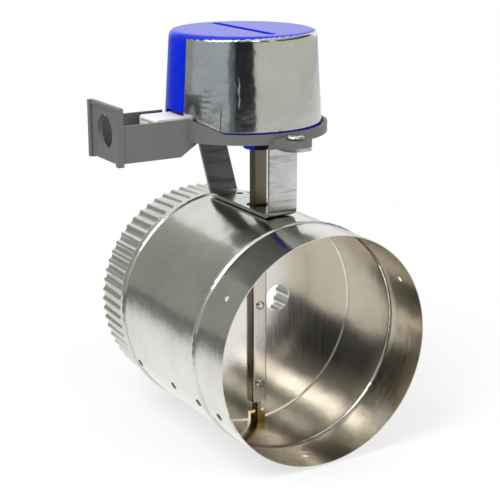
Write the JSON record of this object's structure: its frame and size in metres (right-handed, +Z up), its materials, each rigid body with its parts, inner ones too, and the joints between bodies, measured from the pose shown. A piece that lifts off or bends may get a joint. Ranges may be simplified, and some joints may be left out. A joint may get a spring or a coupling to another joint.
{
  "type": "gas vent damper",
  "caption": "Round vent pipe section with a turning blade, driven by a motor unit under a drum-shaped cover on a bent steel bracket, with a wiring arm.",
  "frame": {"origin": "centre of the duct's plain mouth, on the duct's axis", "axes": "+Y along the duct from the plain mouth to the crimped end, +Z up along the blade's shaft towards the motor unit, +X away from the wiring arm"},
  "size_m": [0.1813, 0.1795, 0.2723],
  "materials": {
    "stainless": "bright rolled stainless sheet",
    "galvanised": "zinc plated steel strip",
    "motor_steel": "plain steel can",
    "dark_rivet": "dark flat rivet",
    "bright_screw": "bright plated",
    "brass": "turned brass",
    "grey_plastic": "moulded, fine texture",
    "blue_plastic": "moulded, satin gloss",
    "foil": "silvered label film",
    "white_plastic": "moulded nylon",
    "black_plastic": "moulded",
    "board": "green solder mask",
    "tan_ceramic": "lacquered"
  },
  "bodies": {
    "housing": {"vent_pipe": "stainless", "seam_rivets": "dark_rivet", "lower_bushing": "brass", "upper_bushing": "brass", "actuator_bracket": "galvanised", "actuator_base": "grey_plastic", "base_screws": "bright_screw", "gear_motor": "motor_steel", "motor_screws": "bright_screw", "motor_plate": "galvanised", "plate_screws": "bright_screw", "closed_switch": "black_plastic", "open_switch": "black_plastic", "switch_screws": "bright_screw", "circuit_board": "board", "board_screws": "bright_screw", "relay": "black_plastic", "capacitor": "black_plastic", "resistors": "tan_ceramic", "harness_connector": "white_plastic", "connector_pins": "brass"},
    "damper": {"damper_blade": "stainless", "blade_shaft": "stainless", "blade_rivets": "stainless", "pivot_pin": "stainless", "drive_coupler": "blue_plastic", "output_gear": "white_plastic", "switch_cam": "white_plastic"},
    "motor_output": {"motor_pinion": "brass", "pinion_shaft": "motor_steel"},
    "cover": {"actuator_cover": "blue_plastic", "foil_label": "foil"}
  },
  "joints": [
    {"name": "blade_turn", "type": "hinge", "parent": "housing", "child": "damper", "pos_m": [0, 0.084, 0], "axis": [0, 0, 1], "range_deg": [0, 90]},
    {"name": "motor_turn", "type": "hinge", "parent": "housing", "child": "motor_output", "pos_m": [0, 0.108, 0.138], "axis": [0, 0, 1], "range_deg": [-270, 0]},
    {"name": "cover_lift", "type": "slide", "parent": "housing", "child": "cover", "axis": [0, 0, 1], "range_m": [0, 0.08]}
  ],
  "couplings": [
    {"joint": "motor_turn", "follows": "blade_turn", "ratio": -3}
  ]
}
